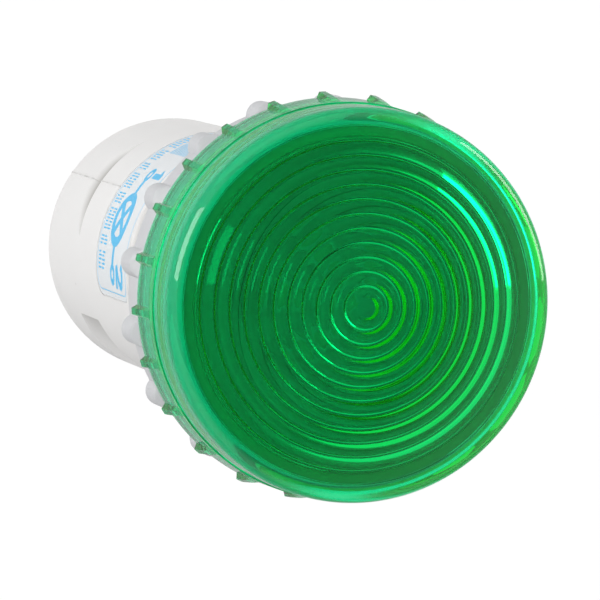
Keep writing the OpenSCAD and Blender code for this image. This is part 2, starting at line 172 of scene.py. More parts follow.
lens_rear, lens_top = 47.55, 58.2
dome_radius, dome_centre = 46.6, 11.6
rim_radius, rim_out, rim_high = 1.3, 13.45, 54.86
band_low, band_r, step_r, skirt_r = 51.7, 14.85, 14.93, 15.05
bore_r, seat_high, inner_r, front_wall = 13.9, 53.88, 12.25, 1.9
fillet_r, fillet_high, fillet_size = 13.3, 53.4, 0.6
ridge_first, ridge_pitch, ridge_count = 0.676, 1.047, 11
rib_count, rib_first, rib_tall, rib_half, rib_back = 24, 8.5, 0.45, 0.46, 47.65
lens_pitch, lens_cut, thread_low, thread_high, seat_r = 2.0, 0.2, 48.1, 53.3, 13.14
sharp_angle = math.radians(28)
PLAIN, RIBBED, THREADED, LOBED = 0, 1, 2, 3


def dome(r, radius):
    """Height of a dome about the lens's own centre, at distance r from the axis."""
    return dome_centre + math.sqrt(radius * radius - r * r)


def spaced(first, last, steps):
    """Even places from the first to the last, both included."""
    return [first + (last - first) * k / steps for k in range(steps + 1)]


def turned_mesh(name, rows, columns):
    """A closed turned mesh from rows of radius, height and mark, in mm, at these angles.

    A row's mark is kept on its points, so that Geometry Nodes can tell the rows apart."""
    points, faces, rings, marks = [], [], [], []
    for r, z, mark in rows:
        count = 1 if r < 1e-6 else len(columns)
        rings.append(range(len(points), len(points) + count))
        points += [(r * math.cos(a) * MM, r * math.sin(a) * MM, z * MM) for a in columns[:count]]
        marks += [mark] * count
    whole = len(columns)
    for low, high in zip(rings, rings[1:] + rings[:1]):
        for i in range(whole if len(low) + len(high) > 2 else 0):
            j = (i + 1) % whole
            if len(low) == 1:
                faces.append((low[0], high[i], high[j]))
            elif len(high) == 1:
                faces.append((low[i], high[0], low[j]))
            else:
                faces.append((low[i], high[i], high[j], low[j]))
    made = bpy.data.meshes.new(name)
    made.from_pydata(points, [], faces)
    made.attributes.new("mark", "INT", "POINT").data.foreach_set("value", marks)
    made.shade_smooth()
    return made


def new_tree(name, inputs):
    """A Geometry Nodes tree with these named inputs, and its group input node."""
    made = bpy.data.node_groups.new(name, "GeometryNodeTree")
    made.interface.new_socket(name="Geometry", in_out="INPUT", socket_type="NodeSocketGeometry")
    made.interface.new_socket(name="Geometry", in_out="OUTPUT", socket_type="NodeSocketGeometry")
    for label in inputs:
        kind = "NodeSocketMaterial" if label == "Material" else "NodeSocketFloat"
        made.interface.new_socket(name=label, in_out="INPUT", socket_type=kind)
    return made, made.nodes.new("NodeGroupInput")


def worked_mesh(name, mesh, steps):
    """The mesh after each of these trees, with its input values, has worked on it."""
    worked = bpy.data.objects.new(name, mesh)
    bpy.context.scene.collection.objects.link(worked)
    for tree, values in steps:
        step = worked.modifiers.new(tree.name, "NODES")
        step.node_group = tree
        for item in tree.interface.items_tree:
            if item.in_out == "INPUT" and item.name in values:
                step[item.identifier] = values[item.name]
    ready = worked.evaluated_get(bpy.context.evaluated_depsgraph_get())
    made = bpy.data.meshes.new_from_object(ready)
    made.name = name
    bpy.data.objects.remove(worked)
    return made


def placed(name, mesh, body):
    """A new piece of this mesh, riding on a body."""
    piece = bpy.data.objects.new(name, mesh)
    bpy.context.scene.collection.objects.link(piece)
    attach(piece, body)
    return piece


def coated(mesh, material):
    """The mesh with this material alone."""
    mesh.materials.clear()
    mesh.materials.append(material)
    return mesh


def ridge_profile(steps, inner_edge):
    """One ridge in section: places along its pitch, and heights from its inner edge.

    Its outer side falls slowly and its inner side returns steeply, and a narrow groove
    parts it from its neighbours."""
    knots = [(0.0, -1.0), (0.03, 0.68), (0.56, 0.10), (0.70, -0.40), (0.82, -1.1), (0.94, -2.0),
             (1.0, -1.0)]
    slopes, fine = [], 240
    for i in range(fine):
        u = (i + 0.5) / fine
        k = max(n for n in range(len(knots) - 1) if knots[n][0] <= u)
        (ua, sa), (ub, sb) = knots[k], knots[k + 1]
        slopes.append(sa + (sb - sa) * (u - ua) / (ub - ua))
    drift = sum(slopes) / fine
    depths, depth = [0.0], 0.0
    for slope in slopes:
        depth += (slope - drift) * ridge_pitch / fine
        depths.append(depth)
    places = [(inner_edge + u * ridge_pitch, depths[round(u * fine)]) for u in steps]
    return [(r, dome(r, dome_radius - front_wall) - depth) for r, depth in places]


def split(tree, place):
    """A place's x, y and z, the same place at height 0, and its distance from the axis."""
    xyz = add(tree, "SeparateXYZ", {0: place})
    flat = add(tree, "CombineXYZ", {0: xyz, 1: xyz.outputs[1]})
    radius = add(tree, "VectorMath", {0: flat}, operation="LENGTH")
    return xyz, flat, radius.outputs["Value"]


def around_axis(tree):
    """A point's height, the way out from the axis, and its distance and angle round it."""
    xyz, flat, radius = split(tree, add(tree, "GeometryNodeInputPosition").outputs[0])
    outward = add(tree, "VectorMath", {0: flat}, operation="NORMALIZE")
    angle = add(tree, "Math", {0: xyz.outputs[1], 1: xyz}, operation="ARCTAN2")
    return xyz.outputs[2], outward.outputs[0], radius, angle.outputs[0]


def from_nearest(tree, given, angle):
    """A point's angle from the nearest of Count even places, the first at First Angle."""
    after = add(tree, "Math", {0: angle, 1: given.outputs["First Angle"]}, operation="SUBTRACT")
    pitch = add(tree, "Math", {0: 2 * math.pi, 1: given.outputs["Count"]}, operation="DIVIDE")
    cell = add(tree, "Math", {0: after, 1: pitch}, operation="DIVIDE")
    nearest = add(tree, "Math", {0: cell}, operation="ROUND")
    part = add(tree, "Math", {0: cell, 1: nearest}, operation="SUBTRACT")
    return add(tree, "Math", {0: part, 1: pitch}, operation="MULTIPLY").outputs[0]


def lifted(tree, given, outward, lift, mark):
    """The end of a tree: rows with this mark move out by the lift, and take the material."""
    move = add(tree, "VectorMath", {0: outward, 3: lift}, operation="SCALE")
    kept = add(tree, "GeometryNodeInputNamedAttribute", {0: "mark"}, data_type="INT")
    chosen = add(tree, "FunctionNodeCompare", {2: kept, 3: mark}, data_type="INT",
                 operation="EQUAL")
    moved = add(tree, "GeometryNodeSetPosition", {"Geometry": given.outputs["Geometry"],
                                                  "Selection": chosen, "Offset": move})
    real = add(tree, "GeometryNodeRealizeInstances", {0: moved})
    skin = add(tree, "GeometryNodeSetMaterial", {"Geometry": real,
                                                 "Material": given.outputs["Material"]})
    add(tree, "NodeGroupOutput", {0: skin})
    return tree


# grip ribs: rows marked RIBBED rise into wedges that fade out towards the front
tree, given = new_tree("grip_ribs", ["Count", "First Angle", "Height", "Half Width", "Rear",
                                     "Front", "Material"])
height, outward, radius, angle = around_axis(tree)
turned = from_nearest(tree, given, angle)
side = add(tree, "Math", {0: turned, 1: radius}, operation="MULTIPLY")
reach = add(tree, "Math", {0: side}, operation="ABSOLUTE")
across = add(tree, "MapRange", {"Value": reach, "From Min": given.outputs["Half Width"],
                                "From Max": 0.24 * MM})
along = add(tree, "MapRange", {"Value": height, "From Min": given.outputs["Front"],
                               "From Max": given.outputs["Rear"]})
wedge = add(tree, "Math", {0: along, 1: 0.65}, operation="POWER")
both = add(tree, "Math", {0: across, 1: wedge}, operation="MULTIPLY")
lift = add(tree, "Math", {0: both, 1: given.outputs["Height"]}, operation="MULTIPLY")
ribs_tree = lifted(tree, given, outward, lift, RIBBED)

# screw thread: rows marked THREADED move out or in along a right-hand helix
tree, given = new_tree("screw_thread", ["Pitch", "Depth", "Low", "High", "Run-out", "Flat Share",
                                        "Material"])
height, outward, radius, angle = around_axis(tree)
turns = add(tree, "Math", {0: angle, 1: 2 * math.pi}, operation="DIVIDE")
climb = add(tree, "Math", {0: height, 1: given.outputs["Pitch"]}, operation="DIVIDE")
phase = add(tree, "Math", {0: climb, 1: turns}, operation="SUBTRACT")
saw = add(tree, "Math", {0: phase, 1: 0.5}, operation="PINGPONG")
flank = add(tree, "Math", {0: 0.5, 1: given.outputs["Flat Share"]}, operation="SUBTRACT")
wave = add(tree, "MapRange", {"Value": saw, "From Min": given.outputs["Flat Share"],
                              "From Max": flank})
low_end = add(tree, "Math", {0: given.outputs["Low"], 1: given.outputs["Run-out"]},
              operation="ADD")
high_end = add(tree, "Math", {0: given.outputs["High"], 1: given.outputs["Run-out"]},
               operation="SUBTRACT")
rise = add(tree, "MapRange", {"Value": height, "From Min": given.outputs["Low"],
                              "From Max": low_end})
fade = add(tree, "MapRange", {"Value": height, "From Min": given.outputs["High"],
                              "From Max": high_end})
ends = add(tree, "Math", {0: rise, 1: fade}, operation="MULTIPLY")
shape = add(tree, "Math", {0: ends, 1: wave}, operation="MULTIPLY")
lift = add(tree, "Math", {0: shape, 1: given.outputs["Depth"]}, operation="MULTIPLY")
thread_tree = lifted(tree, given, outward, lift, THREADED)

# polished outside; the ridged face inside, nearer the dome's centre, is a little satin,
# and the threaded bore of the skirt is matt
lens_mat, tree, out = empty_material("moulded_green_polycarbonate")
where = add(tree, "TexCoord")
apart = add(tree, "VectorMath", {0: where.outputs["Object"], 1: (0, 0, dome_centre * MM)},
            operation="DISTANCE")
satin_share = add(tree, "MapRange",
                  {"Value": apart.outputs["Value"], "From Min": (dome_radius - 1.0) * MM,
                   "From Max": (dome_radius - 1.2) * MM, "To Min": 0.02, "To Max": 0.05})
xyz, flat, radius = split(tree, where.outputs["Object"])
in_bore = add(tree, "Math", {0: radius, 1: (bore_r + 0.15) * MM}, operation="LESS_THAN")
in_skirt = add(tree, "Math", {0: xyz.outputs[2], 1: (seat_high - 0.03) * MM},
               operation="LESS_THAN")
threaded = add(tree, "Math", {0: in_bore, 1: in_skirt}, operation="MULTIPLY")
satin = add(tree, "Mix", {0: threaded, 2: satin_share, 3: 0.38}, data_type="FLOAT")
shell = add(tree, "BsdfPrincipled", {"Base Color": (1, 1, 1, 1), "Roughness": satin, "IOR": 1.50,
                                     "Transmission Weight": 1.0})
depth = add(tree, "VolumeAbsorption", {"Color": (0.0, 0.9825, 0.868, 1), "Density": 2500.0})
tree.links.new(shell.outputs[0], out.inputs["Surface"])
tree.links.new(depth.outputs[0], out.inputs["Volume"])

rim_turn = math.atan2(rim_out, rim_high - dome_centre)
rows = [(0, lens_top)]
rows += [(dome_radius * math.sin(turn), dome_centre + dome_radius * math.cos(turn))
         for turn in spaced(0, rim_turn, 14)[1:]]
rows += [(rim_out + rim_radius * math.cos(turn), rim_high + rim_radius * math.sin(turn))
         for turn in spaced(math.pi / 2 - rim_turn, 0, 10)[1:]]
rows += [(band_r, band_low + 0.02), (step_r, band_low)]
rows = [(r, z, PLAIN) for r, z in rows]
rows += [(step_r + (skirt_r - step_r) * (band_low - z) / (band_low - lens_rear), z, RIBBED)
         for z in spaced(band_low - 0.05, rib_back, 8)]
rows += [(skirt_r - 0.01, rib_back - 0.03, PLAIN), (skirt_r - 0.03, lens_rear + 0.02, PLAIN),
         (skirt_r - 0.1, lens_rear, PLAIN), (bore_r + 0.2, lens_rear, PLAIN)]
rows += [(bore_r, z, THREADED) for z in spaced(lens_rear + 0.2, fillet_high, 28)]
rows += [(fillet_r + fillet_size * math.cos(turn), fillet_high + fillet_size * math.sin(turn),
          PLAIN) for turn in spaced(0, math.pi / 2, 6)[1:]]
rows += [(seat_r + 0.06, seat_high + 0.1, PLAIN), (seat_r, seat_high, PLAIN),
         (inner_r + 0.06, seat_high, PLAIN), (inner_r, seat_high + 0.06, PLAIN),
         (inner_r, dome(inner_r, dome_radius - front_wall) - 0.15, PLAIN),
         (inner_r - 0.03, dome(inner_r, dome_radius - front_wall), PLAIN)]
steps = [0.0, 0.015, 0.03, 0.12, 0.23, 0.34, 0.45, 0.56, 0.63, 0.70, 0.76, 0.82, 0.88, 0.94,
         0.97, 0.985]
for k in range(ridge_count - 1, -1, -1):
    rows += [(r, z, PLAIN) for r, z in
             reversed(ridge_profile(steps, ridge_first + k * ridge_pitch))]
rows.append((0, dome(0, dome_radius - front_wall) - 0.05, PLAIN))
steps = [0.0, 0.45, 0.92, 1.35, 1.76, 3.4, 5.4]
around = sorted([-s for s in steps[1:]] + steps + [180 / rib_count])
columns = [math.radians(rib_first + 360 / rib_count * k + s) for k in range(rib_count)
           for s in around]
lens_mesh = worked_mesh("lens_cap", turned_mesh("lens_blank", rows, columns), [
    (ribs_tree, {"Count": float(rib_count), "First Angle": math.radians(rib_first),
                 "Height": rib_tall * MM, "Half Width": rib_half * MM, "Rear": rib_back * MM,
                 "Front": (band_low - 0.1) * MM, "Material": lens_mat}),
    (thread_tree, {"Pitch": lens_pitch * MM, "Depth": -lens_cut * MM, "Low": thread_low * MM,
                   "High": thread_high * MM, "Run-out": 0.6 * MM, "Flat Share": 0.04,
                   "Material": lens_mat})])
lens_mesh.set_sharp_from_angle(angle=sharp_angle)
lens_piece = placed("lens_cap", lens_mesh, "lens_cap")
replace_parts(lens_piece, "lens")


# ---- Housing ---------------------------------------------------------------------
# One moulding in white polyamide: the tail, the threaded neck, the panel flange and the
# collar that the lens screws onto. The two halves of its mould meet along +Y and -Y.

tail_r, tail_top, neck_r, seat_z = 10.6, 28.0, 11.05, 47.3
collar_r, collar_top, bowl_r, lamp_bore_r = 13.1, 53.3, 12.2, 9.5
inside_r, foot_flat, foot_low, foot_top = 8.9, 7.2, 2.0, 14.0
wire_z, wire_y, wire_r, screw_x = 10.1, 3.1, 1.4, 4.1
label_low, label_high, label_half, label_corner = 17.0, 26.7, 7.9, 1.2
cavity_top, cup_low, cup_high, outside = 45.9, 48.2, 50.9, 11.6
notch_low, notch_high, notch_run, notch_floor, notch_half = 7.6, 12.6, 4.435, 8.75, 4.65
groove_floor, groove_front, groove_run = 9.5, 10.7, 5.736
well_r, well_deep, key_half, key_floor, key_out = 3.0, 2.6, 1.2, 10.3, 12.05
pocket_deep, cut_from, cut_to, shell_low, shell_high = 0.12, 5.0, 12.0, 15, 30
neck_pitch, neck_cut, edge_r, line_tall, hole_in, hole_out = 1.5, 0.45, 0.5, 0.05, 6.2, 12.0


def prism(outline, low, high, axis):
    """A closed bar in mm: an outline across an axis, from low to high along it.

    The outline's pairs are y, z across X; z, x across Y; and x, y across Z."""
    order = {"X": (2, 0, 1), "Y": (1, 2, 0), "Z": (0, 1, 2)}[axis]
    area = sum(a[0] * b[1] - b[0] * a[1] for a, b in zip(outline, outline[1:] + outline[:1]))
    loop = outline if area > 0 else outline[::-1]
    n = len(loop)
    points = [tuple((a, b, along)[k] * MM for k in order) for along in (low, high)
              for a, b in loop]
    faces = [tuple(reversed(range(n))), tuple(range(n, 2 * n))]
    faces += [(i, (i + 1) % n, n + (i + 1) % n, n + i) for i in range(n)]
    return points, faces


def gathered(name, solids):
    """One mesh of several closed solids that stand apart."""
    points, faces = [], []
    for more, sides in solids:
        faces += [tuple(len(points) + k for k in side) for side in sides]
        points += more
    made = bpy.data.meshes.new(name)
    made.from_pydata(points, [], faces)
    return made


def carved(mesh, tools, how="DIFFERENCE"):
    """The mesh with these closed meshes cut from it, joined to it, or kept in common."""
    body = bpy.data.objects.new(mesh.name, mesh)
    bpy.context.scene.collection.objects.link(body)
    cutters = []
    for tool in tools:
        cutter = bpy.data.objects.new(tool.name, tool)
        bpy.context.scene.collection.objects.link(cutter)
        step = body.modifiers.new(tool.name, "BOOLEAN")
        step.operation, step.solver, step.object = how, "EXACT", cutter
        step.use_self = how == "INTERSECT"
        cutters.append(cutter)
    ready = body.evaluated_get(bpy.context.evaluated_depsgraph_get())
    made = bpy.data.meshes.new_from_object(ready)
    made.name = mesh.name
    for spent in [body] + cutters:
        bpy.data.objects.remove(spent)
    made.shade_smooth()
    made.set_sharp_from_angle(angle=sharp_angle)
    return made


def ring(x, y, radius, count=40):
    """Points of a circle, as an outline."""
    return [(x + radius * math.cos(2 * math.pi * k / count),
             y + radius * math.sin(2 * math.pi * k / count)) for k in range(count)]


def label_outline(margin):
    """The label's outline as z, x pairs, with its four corners rounded."""
    low, high = label_low - margin, label_high + margin
    half, corner = label_half + margin, label_corner + margin
    turns = [math.radians(90 * q + 15 * k) for q in range(4) for k in range(7)]
    return [((high - corner if math.cos(t) + 1e-9 > 0 and q in (0, 3) else low + corner)
             + corner * math.cos(t),
             (half - corner if q in (0, 1) else corner - half) + corner * math.sin(t))
            for q, t in [(n // 7, t) for n, t in enumerate(turns)]]


def tube(name, inner, outer, low, high):
    """A plain closed tube in mm."""
    return turned_mesh(name, [(inner, low, PLAIN), (inner, high, PLAIN), (outer, high, PLAIN),
                              (outer, low, PLAIN)], around_housing)


def mottled(tree, where, pale, deep, size, detail=2.0):
    """A colour that drifts between two over this many mm."""
    drift = add(tree, "TexNoise", {"Vector": where.outputs["Object"], "Scale": 1 / (size * MM),
                                   "Detail": detail})
    return add(tree, "Mix", {0: drift.outputs["Fac"], 6: linear(pale), 7: linear(deep)},
               data_type="RGBA").outputs[2]


around_housing = sorted([math.radians(1.875 * k) for k in range(192)]
                        + [math.radians(a) for a in (89.4, 90.6, 269.4, 270.6)])
rows = [(0, foot_top), (inside_r, foot_top), (inside_r, cavity_top), (lamp_bore_r, cavity_top),
        (lamp_bore_r, cup_low), (bowl_r, cup_high), (bowl_r, collar_top - 0.1),
        (bowl_r + 0.1, collar_top), (collar_r - 0.15, collar_top), (collar_r, collar_top - 0.15)]
rows = [(r, z, PLAIN) for r, z in rows]
rows += [(collar_r, z, THREADED) for z in spaced(collar_top - 0.3, seat_z + 0.2, 40)]
rows += [(collar_r, seat_z + 0.08, PLAIN), (collar_r - 0.08, seat_z, PLAIN),
         (neck_r, seat_z, PLAIN)]
rows += [(neck_r, z, THREADED) for z in spaced(seat_z - 0.05, tail_top + 0.5, 112)]
rows += [(tail_r, z, PLAIN) for z in (tail_top, 24, 20, 16, 12, 8, 4)]
rows += [(tail_r - edge_r + edge_r * math.cos(turn), edge_r - edge_r * math.sin(turn), PLAIN)
         for turn in spaced(0, math.pi / 2, 6)]
rows += [(7.0, 0, PLAIN), (0, 0, PLAIN)]
blank = turned_mesh("housing", rows, around_housing)
for point in blank.vertices:
    x, y, z = (c / MM for c in point.co)
    if abs(x) < 0.01 and abs(y) > tail_r - 0.4 and z < tail_top - 0.1:
        point.co.y *= 1 + line_tall / tail_r

notches, holes = [], []
for way in (1, -1):
    notches.append(prism([(notch_low, way * notch_floor), (notch_high, way * notch_floor),
                          (notch_high, way * outside), (notch_run, way * outside)],
                         -notch_half, notch_half, "Y"))
    notches.append(prism([(way * groove_floor, groove_front), (way * outside, groove_front),
                          (way * outside, groove_run)], -tail_r, tail_r, "X"))
    notches.append(prism(ring(way * screw_x, 0, well_r), -1.0, well_deep, "Z"))
    for y in (-wire_y, wire_y):
        along = sorted((way * hole_in, way * hole_out))
        holes.append(prism(ring(y, wire_z, wire_r), *along, "X"))
notches.append(prism([(-key_half, -key_out), (key_half, -key_out), (key_half, -key_floor),
                      (-key_half, -key_floor)], tail_top - 0.02, seat_z - 0.02, "Z"))
foot_r = inside_r - 0.02
edge = math.acos(foot_flat / foot_r)
foot = [(foot_r * math.cos(start + a), foot_r * math.sin(start + a))
        for start in (edge, math.pi + edge) for a in spaced(0, math.pi - 2 * edge, 40)]
pocket = carved(gathered("label_pocket", [prism(label_outline(0.1), cut_from, cut_to, "Y")]),
                [turned_mesh("pocket_floor", [
                    (0, shell_high, PLAIN), (tail_r - pocket_deep, shell_high, PLAIN),
                    (tail_r - pocket_deep, shell_low, PLAIN), (0, shell_low, PLAIN)],
                    around_housing)])
threads = worked_mesh("housing", blank, [
    (thread_tree, {"Pitch": neck_pitch * MM, "Depth": -neck_cut * MM,
                   "Low": (tail_top + 0.5) * MM, "High": (seat_z - 0.02) * MM,
                   "Run-out": 0.4 * MM, "Flat Share": 0.1}),
    (thread_tree, {"Pitch": lens_pitch * MM, "Depth": -lens_cut * MM,
                   "Low": (seat_z + 0.2) * MM, "High": (collar_top - 0.2) * MM,
                   "Run-out": 0.5 * MM, "Flat Share": 0.04})])
housing_mesh = carved(threads, [
    gathered("notches", notches),
    gathered("keyed_foot", [prism(foot, foot_low, foot_top + 0.4, "Z")]),
    gathered("wire_holes", holes), pocket])

# moulded white polyamide: a fine spark-eroded grain, painted shade in its corners and grooves,
# and a grey line and specks where the halves of the mould met
housing_mat, tree, out = empty_material("moulded_white_polyamide")
where = add(tree, "TexCoord")
tint = mottled(tree, where, "f4f3f2", "eeedec", 7)
grain = add(tree, "TexNoise", {"Vector": where.outputs["Object"], "Scale": 1 / (0.22 * MM),
                               "Detail": 3.0})
xyz, flat, radius = split(tree, where.outputs["Object"])
off_line = add(tree, "Math", {0: xyz}, operation="ABSOLUTE")
line = add(tree, "MapRange", {"Value": off_line, "From Min": 0.07 * MM, "From Max": 0.02 * MM})
below = add(tree, "Math", {0: xyz.outputs[2], 1: tail_top * MM}, operation="LESS_THAN")
worn = add(tree, "TexNoise", {"Vector": where.outputs["Object"], "Scale": 1 / (1.3 * MM)})
faint = add(tree, "MapRange", {"Value": worn.outputs["Fac"], "From Min": 0.40, "From Max": 0.62,
                               "To Min": 0.10, "To Max": 0.55})
line_here = add(tree, "Math", {0: line, 1: below}, operation="MULTIPLY")
line_worn = add(tree, "Math", {0: line_here, 1: faint}, operation="MULTIPLY")
cells = add(tree, "TexVoronoi", {"Vector": where.outputs["Object"], "Scale": 1 / (3.2 * MM),
                                 "Randomness": 1.0})
speck = add(tree, "MapRange", {"Value": cells.outputs["Distance"], "From Min": 0.035,
                               "From Max": 0.015, "To Min": 0.0, "To Max": 0.45})
marked = add(tree, "Math", {0: line_worn, 1: speck}, operation="MAXIMUM")
# painted shade in corners: darker where ambient occlusion within 3 mm finds the surface closed
# in, but not by the label
open_share = add(tree, "AmbientOcclusion", {"Distance": 3.0 * MM}, samples=8, only_local=True)
closed = add(tree, "MapRange", {"Value": open_share.outputs["AO"], "From Min": 0.985,
                                "From Max": 0.5, "To Min": 0.0, "To Max": 0.8})
corner = add(tree, "Math", {0: closed, 1: 0.6}, operation="POWER")
by_label = add(tree, "Math", {0: xyz.outputs[2], 1: 0.5 * (label_low + label_high) * MM,
                              2: 6.0 * MM}, operation="COMPARE")
off_label = add(tree, "Math", {0: 1.0, 1: by_label}, operation="SUBTRACT")
corner_shade = add(tree, "Math", {0: corner, 1: off_label}, operation="MULTIPLY")
# painted shade too, most of all at the front of the two grooves and the wire notches, below the
# skin, where the front wall's shadow would fall
sunk = add(tree, "MapRange", {"Value": radius, "From Min": (tail_r - 0.04) * MM,
                              "From Max": (tail_r - 0.42) * MM, "To Min": 0.0, "To Max": 0.85})
ahead = add(tree, "MapRange", {"Value": xyz.outputs[2], "From Min": 6.0 * MM,
                               "From Max": 9.2 * MM})
behind_label = add(tree, "Math", {0: xyz.outputs[2], 1: 16 * MM}, operation="LESS_THAN")
in_front = add(tree, "Math", {0: ahead, 1: behind_label}, operation="MULTIPLY")
groove_shade = add(tree, "Math", {0: sunk, 1: in_front}, operation="MULTIPLY")
painted_shade = add(tree, "Math", {0: corner_shade, 1: groove_shade}, operation="MAXIMUM")
# the painted shade mixes the white towards a warm grey
shade_darkened_tint = add(tree, "Mix", {0: painted_shade, 6: tint, 7: linear("9b9792")}, data_type="RGBA")
colour = add(tree, "Mix", {0: marked, 6: shade_darkened_tint.outputs[2], 7: linear("8f8a86")}, data_type="RGBA")
dull = add(tree, "MapRange", {"Value": grain.outputs["Fac"], "From Min": 0.3, "From Max": 0.7,
                              "To Min": 0.38, "To Max": 0.50})
relief = add(tree, "Bump", {"Height": grain.outputs["Fac"], "Distance": 0.01 * MM,
                            "Strength": 0.5})
skin = add(tree, "BsdfPrincipled", {"Base Color": colour.outputs[2], "Roughness": dull,
                                    "IOR": 1.53, "Normal": relief})
tree.links.new(skin.outputs[0], out.inputs["Surface"])
housing_piece = placed("pilot_housing", coated(housing_mesh, housing_mat), "base")
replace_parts(housing_piece, "housing")


# ---- Lens seal, panel gasket and locating washer -----------------------------------
# A pale silicone ring on the collar's end, a pale rubber ring under the flange, and a
# grey acetal washer whose tongue runs in the neck's keyway. All three are only laid in.

def moulded(name, pale, deep, roughness, grain, relief):
    """A moulded plastic or rubber: its colour drifts over millimetres, and the grain of its
    tool, this many mm across, stands this many mm high."""
    made, tree, out = empty_material(name)
    where = add(tree, "TexCoord")
    tint = mottled(tree, where, pale, deep, 5)
    fine = add(tree, "TexNoise", {"Vector": where.outputs["Object"], "Scale": 1 / (grain * MM),
                                  "Detail": 3.0})
    dull = add(tree, "MapRange", {"Value": fine.outputs["Fac"], "From Min": 0.3, "From Max": 0.7,
                                  "To Min": roughness - 0.06, "To Max": roughness + 0.06})
    bump = add(tree, "Bump", {"Height": fine.outputs["Fac"], "Distance": relief * MM,
                              "Strength": 0.5})
    skin = add(tree, "BsdfPrincipled", {"Base Color": tint, "Normal": bump, "Roughness": dull})
    tree.links.new(skin.outputs[0], out.inputs["Surface"])
    return made


def eased_ring(name, inner, outer, low, high, ease):
    """A turned ring in mm whose four edges are eased."""
    corners = [(inner, low, 1, 1, 180), (inner, high, 1, -1, 90), (outer, high, -1, -1, 0),
               (outer, low, -1, 1, 270)]
    rows = []
    for r, z, inward, upward, start in corners:
        for k in range(4):
            turn = math.radians(start + 90 - 30 * k if start != 180 else 270 - 30 * k)
            rows.append((r + inward * ease + ease * math.cos(turn),
                         z + upward * ease + ease * math.sin(turn), PLAIN))
    return turned_mesh(name, rows, around_housing)


seal_mesh = eased_ring("lens_seal_ring", 12.35, collar_r, collar_top, 53.9, 0.08)
coated(seal_mesh, moulded("natural_silicone_rubber", "e6ece8", "dae2de", 0.42, 0.3, 0.01))
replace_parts(placed("lens_seal_ring", seal_mesh, "lens_carriage"), "lens_seal")

gasket_mesh = eased_ring("panel_gasket_ring", 11.15, 14.2, seat_z - 1.0, seat_z, 0.18)
coated(gasket_mesh, moulded("pale_gasket_rubber", "e4e4e2", "dadad8", 0.6, 0.35, 0.015))
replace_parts(placed("panel_gasket_ring", gasket_mesh, "base"), "panel_gasket")

washer_low, washer_high, tongue_half, tongue_in, tongue_out = 45.7, 46.3, 0.9, 10.6, 11.6
washer_mesh = eased_ring("washer_ring", 11.35, 13.5, washer_low, washer_high, 0.06)
tongue = gathered("washer_tongue", [prism(
    [(-tongue_half, -tongue_out), (tongue_half, -tongue_out), (tongue_half, -tongue_in),
     (-tongue_half, -tongue_in)], washer_low + 0.02, washer_high - 0.02, "Z")])
washer_mesh = carved(washer_mesh, [tongue], "UNION")
coated(washer_mesh, moulded("moulded_grey_acetal", "cfd1d3", "c4c6c8", 0.4, 0.25, 0.01))
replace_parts(placed("washer_ring", washer_mesh, "washer"), "locating_washer")


# ---- Lock nut --------------------------------------------------------------------
# A grey nylon moulding with half-round lobes to grip and a plain collar in front of
# them, threaded to run along the neck and clamp the panel against the gasket.

nut_low, nut_high, nut_r, nut_bore = 41.8, 45.7, 14.25, 11.13
lobe_count, lobe_first, lobe_centre, lobe_radius, lobe_top = 17, 115.7, 13.9, 1.15, 15.05
cone_low, cone_high = 44.4, 45.2

# lobes: rows marked LOBED swell to half-round lobes, as far as a cone over them allows
tree, given = new_tree("nut_lobes", ["Count", "First Angle", "Centre Radius", "Lobe Radius",
                                     "Top Radius", "Cone Low", "Cone High", "Body Radius",
                                     "Material"])
height, outward, radius, angle = around_axis(tree)
swing = from_nearest(tree, given, angle)
cosine = add(tree, "Math", {0: swing}, operation="COSINE")
sine = add(tree, "Math", {0: swing}, operation="SINE")
reach = add(tree, "Math", {0: cosine, 1: given.outputs["Centre Radius"]}, operation="MULTIPLY")
aside = add(tree, "Math", {0: sine, 1: given.outputs["Centre Radius"]}, operation="MULTIPLY")
aside_2 = add(tree, "Math", {0: aside, 1: aside}, operation="MULTIPLY")
lobe_2 = add(tree, "Math", {0: given.outputs["Lobe Radius"], 1: given.outputs["Lobe Radius"]},
             operation="MULTIPLY")
under = add(tree, "Math", {0: lobe_2, 1: aside_2}, operation="SUBTRACT")
positive = add(tree, "Math", {0: under, 1: 0.0}, operation="MAXIMUM")
bulge = add(tree, "Math", {0: positive}, operation="SQRT")
round_r = add(tree, "Math", {0: reach, 1: bulge}, operation="ADD")
cone = add(tree, "MapRange", {"Value": height, "From Min": given.outputs["Cone Low"],
                              "From Max": given.outputs["Cone High"],
                              "To Min": given.outputs["Top Radius"],
                              "To Max": given.outputs["Body Radius"]})
capped = add(tree, "Math", {0: round_r, 1: cone}, operation="MINIMUM")
full = add(tree, "Math", {0: capped, 1: radius}, operation="MAXIMUM")
lift = add(tree, "Math", {0: full, 1: radius}, operation="SUBTRACT")
lobe_tree = lifted(tree, given, outward, lift, LOBED)

steps = [0.0, 0.8, 1.6, 2.4, 3.1, 3.7, 4.15, 4.46, 5.0, 7.0, 9.0]
around = sorted([-s for s in steps[1:]] + steps + [180 / lobe_count])
columns = [math.radians(lobe_first + 360 / lobe_count * k + s) for k in range(lobe_count)
           for s in around]
rows = [(nut_bore + 0.3, nut_low, PLAIN)]
rows += [(nut_bore, z, THREADED) for z in spaced(nut_low + 0.3, nut_high - 0.3, 24)]
rows += [(nut_bore + 0.3, nut_high, PLAIN), (nut_r - 0.5, nut_high, PLAIN),
         (nut_r - 0.42, nut_high - 0.02, PLAIN), (nut_r - 0.06, nut_high - 0.40, PLAIN),
         (nut_r, nut_high - 0.52, LOBED)]
rows += [(nut_r, z, LOBED) for z in spaced(cone_high - 0.1, cone_low, 6)
         + spaced(cone_low - 0.1, nut_low + 0.1, 5)]
rows += [(nut_r - 0.02, nut_low + 0.03, LOBED), (nut_r - 0.1, nut_low, PLAIN)]
nut_mat = moulded("moulded_grey_nylon", "d3d4d6", "cacbce", 0.42, 0.25, 0.012)
